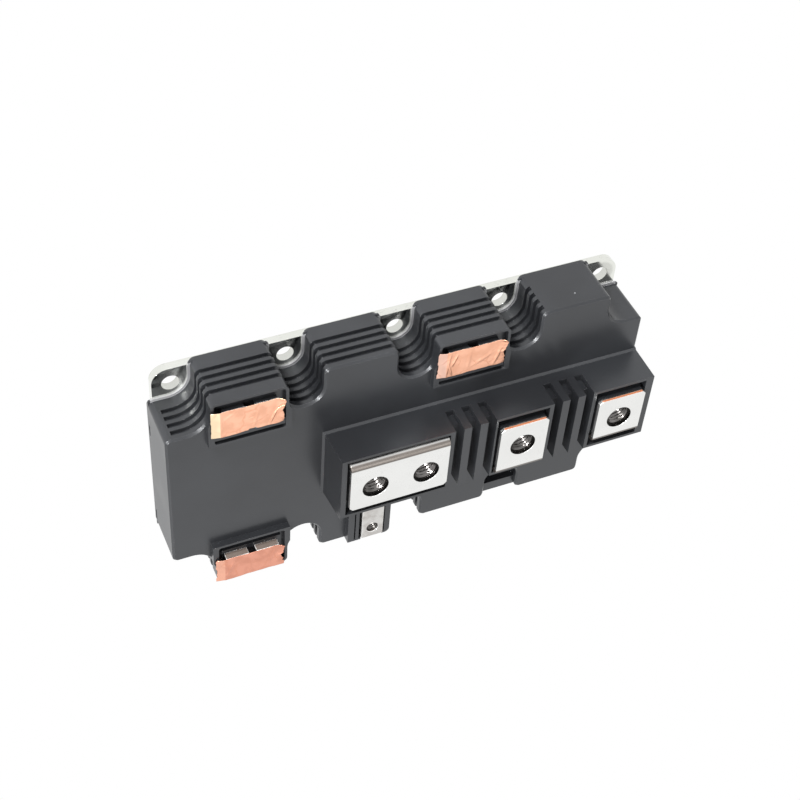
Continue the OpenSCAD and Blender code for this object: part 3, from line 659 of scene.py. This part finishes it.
def bar_finish(name, edges, bend_from, bend_to, sheared_side, sheared_from):
    """Plating with a rougher band across the bend, painted dark as a painted reflection, and
    painted shade on the punched holes' walls.

    The band lies between two places in Y. The top of the end face that looks to the
    sheared side is bare copper, from a place that leaves the holes' walls out. The
    holes' walls are the upright faces near the middle that aren't at a long edge.
    """
    plating, tree, shader = new_finish(name)
    where = axes_of(tree, "Object")
    facing = axes_of(tree, "Normal")
    skin = use_group(tree, grain, Grains=2400.0, Clouds=70.0)
    rubs = use_group(tree, scratches, Lines=1500.0, Turn=1.2)
    colour = blend_colour(tree, skin["Clouds"], PLATING, PLATING_SHADE)
    grit = ramp(tree, skin["Height"], 0.50, 0.68, 0.0, 0.35)
    colour = blend_colour(tree, grit, colour, PLATING_SHADE)
    colour = blend_colour(
        tree, math_of(tree, "MULTIPLY", rubs["Mask"], 0.06), colour, SCRATCH_AND_BEND_REFLECTION
    )
    soft = 0.25 * MM
    across_bend = math_of(
        tree,
        "MULTIPLY",
        ramp(tree, where[1], bend_from - soft, bend_from + soft),
        ramp(tree, where[1], bend_to - soft, bend_to + soft, 1.0, 0.0),
    )
    # Painted reflection: the band across the bend is painted dark brown.
    colour = blend_colour(tree, math_of(tree, "MULTIPLY", across_bend, 0.92), colour, SCRATCH_AND_BEND_REFLECTION)
    outward = math_of(tree, "MULTIPLY", where[1], sheared_side)
    end_face = math_of(
        tree,
        "MULTIPLY",
        ramp(tree, math_of(tree, "MULTIPLY", facing[1], sheared_side), 0.55, 0.8),
        ramp(tree, outward, sheared_from, sheared_from + 0.1 * MM),
    )
    near_top = ramp(tree, where[2], SHEAR_TO, SHEAR_TO + 0.3 * MM)
    end_face = math_of(tree, "MULTIPLY", end_face, near_top)
    colour = blend_colour(tree, end_face, colour, SHEARED)
    tree.links.new(ramp(tree, end_face, 0.0, 1.0, 1.0, 0.35), shader.inputs["Metallic"])
    from_middle = math_of(tree, "ABSOLUTE", where[1])
    hole_wall_shade = math_of(
        tree,
        "MULTIPLY",
        ramp(tree, math_of(tree, "ABSOLUTE", facing[2]), 0.3, 0.6, 1.0, 0.0),
        ramp(tree, from_middle, HOLE_TO, HOLE_TO + 0.2 * MM, 1.0, 0.0),
    )
    for edge in edges:
        off = math_of(tree, "ABSOLUTE", math_of(tree, "SUBTRACT", where[0], edge))
        off_edge = ramp(tree, off, 0.1 * MM, 0.2 * MM)
        hole_wall_shade = math_of(tree, "MULTIPLY", hole_wall_shade, off_edge)
    # Painted shade on the holes' walls.
    colour = blend_colour(tree, hole_wall_shade, colour, HOLE_WALL_SHADE)
    tree.links.new(colour, shader.inputs["Base Color"])
    rough = ramp(tree, skin["Clouds"], 0.0, 1.0, 0.26, 0.34)
    tree.links.new(
        math_of(tree, "ADD", rough, math_of(tree, "MULTIPLY", across_bend, 0.14)),
        shader.inputs["Roughness"],
    )
    relief(tree, shader, skin["Height"], 0.012 * MM, 0.4)
    return plating


for node, bend_side in (
    ("output_terminal", 1),
    ("plus_terminal", -1),
    ("minus_terminal", -1),
):
    low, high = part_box(node)
    bend_from, bend_to, free_end = low.y, low.y + BEND_R, high.y
    if bend_side > 0:
        bend_from, bend_to, free_end = high.y - 1.1 * BEND_R, high.y - 0.15 * MM, -low.y
    sheared_from = free_end - 0.3 * MM
    bar = rounded_copy(node, node + "_plated", 0.14 * MM)
    bar.data.materials.append(
        bar_finish(
            node + "_plating", (low.x, high.x), bend_from, bend_to, -bend_side, sheared_from
        )
    )

# ---------------------------------------------------------------- control lugs
# Tin-plated copper strip, 1 mm thick, stamped and bent twice. A lug rises from
# a tile, passes the roof and lies over its nut; its rounded edges take a painted highlight,
# a bright tin colour.

TIN = (0.62, 0.61, 0.59)
TIN_DULL = (0.46, 0.44, 0.42)
# Painted reflection: the upright faces of the lugs take a dark brown, for the dark pocket
# they mirror.
TIN_UPRIGHT_REFLECTION = (0.15, 0.12, 0.103)
# Painted highlight: the bright tin colours for the lugs' rounded edges.
TIN_HIGHLIGHT = (0.88, 0.87, 0.85)
TIN_HIGHLIGHT_DIM = (0.78, 0.77, 0.75)


def tinned(name, flat, dull, upright_painted_light):
    """Tin plating with the strip's draw lines; where it stands upright it is matt and
    painted in its upright colour, a painted reflection.
    """
    tin, tree, shader = new_finish(name)
    facing = axes_of(tree, "Normal")[1]
    skin = use_group(tree, grain, Grains=3200.0, Clouds=240.0)
    draw_lines = use_group(tree, scratches, Lines=2200.0, Turn=0.0)
    colour = blend_colour(tree, skin["Clouds"], flat, dull)
    colour = blend_colour(
        tree, math_of(tree, "MULTIPLY", draw_lines["Mask"], 0.35), colour, dull
    )
    upright = ramp(tree, math_of(tree, "ABSOLUTE", facing), 0.75, 0.95)
    # Painted reflection: upright faces take the upright colour.
    colour = blend_colour(tree, upright, colour, upright_painted_light)
    tree.links.new(colour, shader.inputs["Base Color"])
    tree.links.new(
        ramp(tree, upright, 0.0, 1.0, 0.9, 0.25), shader.inputs["Metallic"]
    )
    tree.links.new(
        ramp(tree, skin["Clouds"], 0.0, 1.0, 0.30, 0.42), shader.inputs["Roughness"]
    )
    relief(tree, shader, skin["Height"], 0.012 * MM, 0.4)
    return tin


tin = tinned("lug_plating", TIN, TIN_DULL, TIN_UPRIGHT_REFLECTION)
# Painted highlight: the lugs' rounded edges are painted a bright tin colour.
tin_edge_highlight = tinned("lug_edge_highlights", TIN_HIGHLIGHT, TIN_HIGHLIGHT_DIM, TIN_HIGHLIGHT)
for node in PAIRED_LUGS + ["sense_lug"]:
    lug = rounded_copy(node, node + "_plated", 0.15 * MM, edge_slot=1)
    lug.data.materials.append(tin)
    lug.data.materials.append(tin_edge_highlight)

# ---------------------------------------------------------------- copper foils
# Thin copper foil, cut by hand and pressed over each pair of lugs so that no
# charge builds up in transport. It is creased, torn at its ends and folded.

FOIL_T = 0.1 * MM
FOIL_TAIL = 3.0 * MM
COPPER_NEW = (0.86, 0.45, 0.295)
COPPER_PALE = (0.89, 0.50, 0.345)
# Painted reflection: left of the fold, the sloping tail of each foil takes a lighter copper.
COPPER_TAIL_REFLECTION = (0.94, 0.80, 0.54)
COPPER_TAIL_REFLECTION_PINK = (0.84, 0.56, 0.46)
# Painted shade: the foils' ridges are painted a dark copper.
COPPER_CREASE_SHADE = (0.62, 0.25, 0.14)

# Crumple: the ridges of a hand-smoothed foil, where noise-bent cells meet.
crumple, taken, given = new_group("crumple", {"Folds": 160.0}, ["Height", "Crease Shade"])
place = put(crumple, "TexCoord").outputs["Object"]
bend = put(crumple, "TexNoise", {"Vector": place, "Scale": 260.0, "Detail": 2.0})
shift = put(
    crumple,
    "VectorMath",
    {0: bend.outputs["Color"], "Scale": 2.5 * MM},
    operation="SCALE",
).outputs[0]
bent = put(crumple, "VectorMath", {0: place, 1: shift}, operation="ADD").outputs[0]
facets = put(
    crumple,
    "TexVoronoi",
    {"Vector": bent, "Scale": taken.outputs["Folds"]},
    feature="DISTANCE_TO_EDGE",
)
crumple.links.new(facets.outputs["Distance"], given.inputs["Height"])
# The second output is 1 along the ridges, where the foils take painted shade.
crumple.links.new(
    ramp(crumple, facets.outputs["Distance"], 0.0, 0.05, 1.0, 0.0), given.inputs["Crease Shade"]
)


def foil_finish(name, fresh, pale, tail_reflection, fold_x, folds):
    """Copper with a crumpled relief, painted shade on its ridges, and a painted reflection,
    a lighter tone, left of the fold.
    """
    foil, tree, shader = new_finish(name)
    shader.inputs["Metallic"].default_value = 1.0
    along = axes_of(tree, "Object")[0]
    skin = use_group(tree, grain, Grains=2600.0, Clouds=230.0)
    creases = use_group(tree, crumple, Folds=folds)
    colour = blend_colour(tree, skin["Clouds"], fresh, pale)
    # Painted reflection: the tail left of the fold is painted lighter.
    tail = ramp(tree, along, fold_x - 0.3 * MM, fold_x, 0.8, 0.0)
    colour = blend_colour(tree, tail, colour, tail_reflection)
    crease_shade = math_of(
        tree, "MULTIPLY", creases["Crease Shade"], ramp(tree, skin["Clouds"], 0.3, 0.9, 0.0, 0.4)
    )
    # Painted shade along the ridges.
    colour = blend_colour(tree, crease_shade, colour, COPPER_CREASE_SHADE)
    tree.links.new(colour, shader.inputs["Base Color"])
    tree.links.new(
        ramp(tree, skin["Clouds"], 0.0, 1.0, 0.34, 0.46), shader.inputs["Roughness"]
    )
    relief(tree, shader, creases["Height"], 0.12 * MM, 0.35)
    return foil


def foil_piece(node, name, creases, flap, ragged, notch=(10.6, 0.0)):
    """A sheet on a grid of (along, across), laid on the lugs' level.

    Its ends wave in and out by ragged times a sum of sines. Each crease adds a tent
    that falls from its height to nothing at its reach from a line. Right of where the
    flap starts, the sheet lifts by its height times the squared share, turned over
    across the width. The tail left of the fold slopes down to the moulding,
    and a notch dents the lower edge by its depth.
    """
    low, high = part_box(node)
    along, across = np.meshgrid(np.linspace(0, 1, 150), np.linspace(0, 1, 76), indexing="ij")
    fold_x = low.x + FOIL_TAIL
    wave = np.sin(9 * across + 1.3) + 0.6 * np.sin(23 * across)
    wave = wave + 0.4 * np.sin(41 * across + 2)
    x = low.x + (high.x - low.x) * along
    x = x + ragged * wave * (along**6 - 0.5 * (1 - along) ** 8)
    edge_wave = np.sin(7 * along + 0.4) + 0.5 * np.sin(19 * along + 2)
    edge_wave = edge_wave + 0.3 * np.sin(37 * along)
    y = low.y + (high.y - low.y) * across
    y = y + 0.12 * MM * edge_wave * (across - 0.5) * 2
    dent = np.clip(1.6 - np.abs((x - fold_x) / MM - notch[0]), 0, 0.5) * 2
    y = y + notch[1] * MM * dent * (1 - across) ** 3
    z = np.full_like(x, high.z - FOIL_T / 2)
    for at_x, at_y, angle, length, reach, height in creases:
        right = (x - fold_x) / MM - at_x
        up = (y - low.y) / MM - at_y
        along_line = right * math.cos(angle) + up * math.sin(angle)
        off_line = -right * math.sin(angle) + up * math.cos(angle)
        tent = np.clip(1 - np.abs(off_line) / reach, 0, None)
        ends = np.clip(1.5 - np.abs(along_line) / length * 1.5, 0, 1)
        z = z + height * MM * tent * ends
    start, rise, twist = flap
    past = np.clip((along - start) / (1 - start), 0, 1)
    z = z + MM * past**2 * (rise + twist * (across - 0.5) * 2)
    x = x + 0.9 * MM * past * np.abs(np.sin(4.5 * across + 0.6))
    tail = np.clip((fold_x - x) / FOIL_TAIL, 0, 1)
    z = z - 0.62 * MM * tail + 0.25 * MM * np.sin(math.pi * tail) * across
    points = np.stack([x, y, z], axis=-1).reshape(-1, 3)
    number = np.arange(x.size).reshape(x.shape)
    faces = np.stack(
        [number[:-1, :-1], number[1:, :-1], number[1:, 1:], number[:-1, 1:]], axis=-1
    ).reshape(-1, 4)
    foil = mesh_piece(name, points, faces)
    wall = foil.modifiers.new("foil thickness", "SOLIDIFY")
    wall.thickness = FOIL_T
    wall.offset = 0.0
    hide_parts(node)
    return foil, fold_x


# Each crease: where its middle is (mm right of the fold and up from the lower
# edge), its angle, half its length, its reach either side, and its height in mm.
foil, fold_x = foil_piece(
    "lower_gate_foil",
    "lower_gate_foil_creased",
    [
        (0.0, 5.6, 1.57, 8.0, 0.8, 0.22),
        (11.6, 4.0, 1.35, 5.5, 0.7, 0.16),
        (10.2, 5.8, 0.25, 1.4, 0.4, -0.1),
        (3.0, 8.5, 0.6, 3.0, 0.9, 0.12),
        (17.8, 4.5, 1.2, 5.0, 0.6, 0.35),
        (19.4, 7.5, 0.9, 3.0, 0.4, -0.35),
    ],
    (0.91, 0.6, 1.0),
    0.12 * MM,
    (10.6, 0.6),
)
foil.data.materials.append(
    foil_finish(
        "lower_gate_foil", COPPER_NEW, COPPER_PALE, COPPER_TAIL_REFLECTION, fold_x, 110.0
    )
)

foil, fold_x = foil_piece(
    "upper_gate_foil",
    "upper_gate_foil_creased",
    [
        (0.4, 5.6, 1.45, 8.0, 0.7, 0.25),
        (2.6, 7.0, 1.2, 3.0, 0.7, 0.3),
        (8.0, 6.0, 1.5, 5.0, 0.9, 0.12),
        (13.0, 4.5, 0.5, 5.0, 1.1, 0.12),
        (18.5, 5.0, 1.3, 5.0, 0.7, 0.35),
        (1.3, 3.0, 1.8, 3.0, 0.5, 0.3),
    ],
    (0.9, 0.5, 0.8),
    0.25 * MM,
)
foil.data.materials.append(
    foil_finish("upper_gate_foil", COPPER_NEW, COPPER_PALE, COPPER_TAIL_REFLECTION_PINK, fold_x, 150.0)
)

# Painted shade: the thermistor foil is painted a deeper copper for the dimmer light on its
# side of the module, and its tail colour is a painted reflection.
FOIL_IN_SHADE = (0.66, 0.29, 0.20)
FOIL_IN_SHADE_PALE = (0.70, 0.33, 0.235)
FOIL_IN_SHADE_TAIL_REFLECTION = (0.80, 0.43, 0.31)
foil, fold_x = foil_piece(
    "thermistor_foil",
    "thermistor_foil_creased",
    [
        (0.0, 5.6, 1.57, 8.0, 0.8, 0.2),
        (1.6, 5.0, 1.2, 4.0, 0.8, 0.25),
        (9.5, 5.0, 1.5, 6.0, 1.0, 0.1),
        (17.0, 6.0, 1.2, 5.0, 0.9, 0.2),
    ],
    (0.9, 0.4, 0.4),
    0.4 * MM,
)
foil.data.materials.append(
    foil_finish(
        "thermistor_foil", FOIL_IN_SHADE, FOIL_IN_SHADE_PALE, FOIL_IN_SHADE_TAIL_REFLECTION, fold_x, 130.0
    )
)

# ---------------------------------------------------------------- table and light
# A white paper table under a soft top light. A small lamp low on the far side
# draws highlights along the ribs, and two more light the left end and corners.

FLOOR = 3.0
FILL = 0.4
PAPER = (0.9, 0.9, 0.9)


def shown_white(tree):
    """1 for a camera, mirror or glass ray, which sees plain white."""
    path = put(tree, "LightPath").outputs
    seen = math_of(tree, "MAXIMUM", path["Is Camera Ray"], path["Is Glossy Ray"])
    return math_of(tree, "MAXIMUM", seen, path["Is Transmission Ray"])


world = bpy.data.worlds.new("studio")
bpy.context.scene.world = world
world.use_nodes = True
tree = world.node_tree
tree.nodes.clear()
fill = put(tree, "Background", {"Strength": FILL})
fill.inputs["Color"].default_value = (1.0, 1.0, 1.0, 1.0)
white = put(tree, "Background", {"Strength": 1.0})
white.inputs["Color"].default_value = (1.0, 1.0, 1.0, 1.0)
pick = put(
    tree, "MixShader", {0: shown_white(tree), 1: fill.outputs[0], 2: white.outputs[0]}
)
put(tree, "OutputWorld", {"Surface": pick.outputs[0]})

sheet = bpy.data.meshes.new("paper_table")
sheet.from_pydata(
    [(-FLOOR, -FLOOR, 0), (FLOOR, -FLOOR, 0), (FLOOR, FLOOR, 0), (-FLOOR, FLOOR, 0)],
    [],
    [(0, 1, 2, 3)],
)
table = bpy.data.objects.new("paper_table", sheet)
bpy.context.scene.collection.objects.link(table)
paper, tree, shader = new_finish("paper")
tree.nodes.clear()
matte = put(tree, "BsdfDiffuse", {"Color": (*PAPER, 1.0)})
glow = put(tree, "Emission", {"Color": (1.0, 1.0, 1.0, 1.0), "Strength": 1.0})
pick = put(
    tree, "MixShader", {0: shown_white(tree), 1: matte.outputs[0], 2: glow.outputs[0]}
)
put(tree, "OutputMaterial", {"Surface": pick.outputs[0]})
sheet.materials.append(paper)


def soft_light(name, at, size, power):
    """A square area lamp at a point, turned towards the module."""
    data = bpy.data.lights.new(name, "AREA")
    data.size = size
    data.energy = power
    lamp = bpy.data.objects.new(name, data)
    lamp.location = at
    lamp.rotation_mode = "QUATERNION"
    lamp.rotation_quaternion = (-Vector(at)).to_track_quat("-Z", "Y")
    bpy.context.scene.collection.objects.link(lamp)


soft_light("top", (0.2, 0.1, 1.4), 0.8, 6.0)
soft_light("far_side", (-0.6, 1.2, 0.35), 0.35, 34.0)
soft_light("left", (-1.2, 0.5, 0.5), 0.3, 10.0)
soft_light("corners", (-0.85, 0.3, 1.05), 0.25, 12.0)

CAMERA_AT = Vector((-0.16932, 0.40321, 0.34847))
CAMERA_AIM = Vector((0.00429, -0.00091, 0.00322))
CAMERA_ROLL = math.radians(150.07)
LENS = 71.38
SENSOR = 36.0
NEAREST = 0.01
FURTHEST = 20.0

camera_data = bpy.data.cameras.new("camera")
camera_data.lens = LENS
camera_data.sensor_width = SENSOR
camera_data.clip_start = NEAREST
camera_data.clip_end = FURTHEST
camera = bpy.data.objects.new("camera", camera_data)
bpy.context.scene.collection.objects.link(camera)
camera.rotation_mode = "QUATERNION"
facing = (CAMERA_AIM - CAMERA_AT).to_track_quat("-Z", "Y")
rolled = Matrix.Rotation(CAMERA_ROLL, 3, "Z").to_quaternion()
camera.rotation_quaternion = facing @ rolled
camera.location = CAMERA_AT
bpy.context.scene.camera = camera
bpy.context.scene.view_settings.view_transform = "Standard"
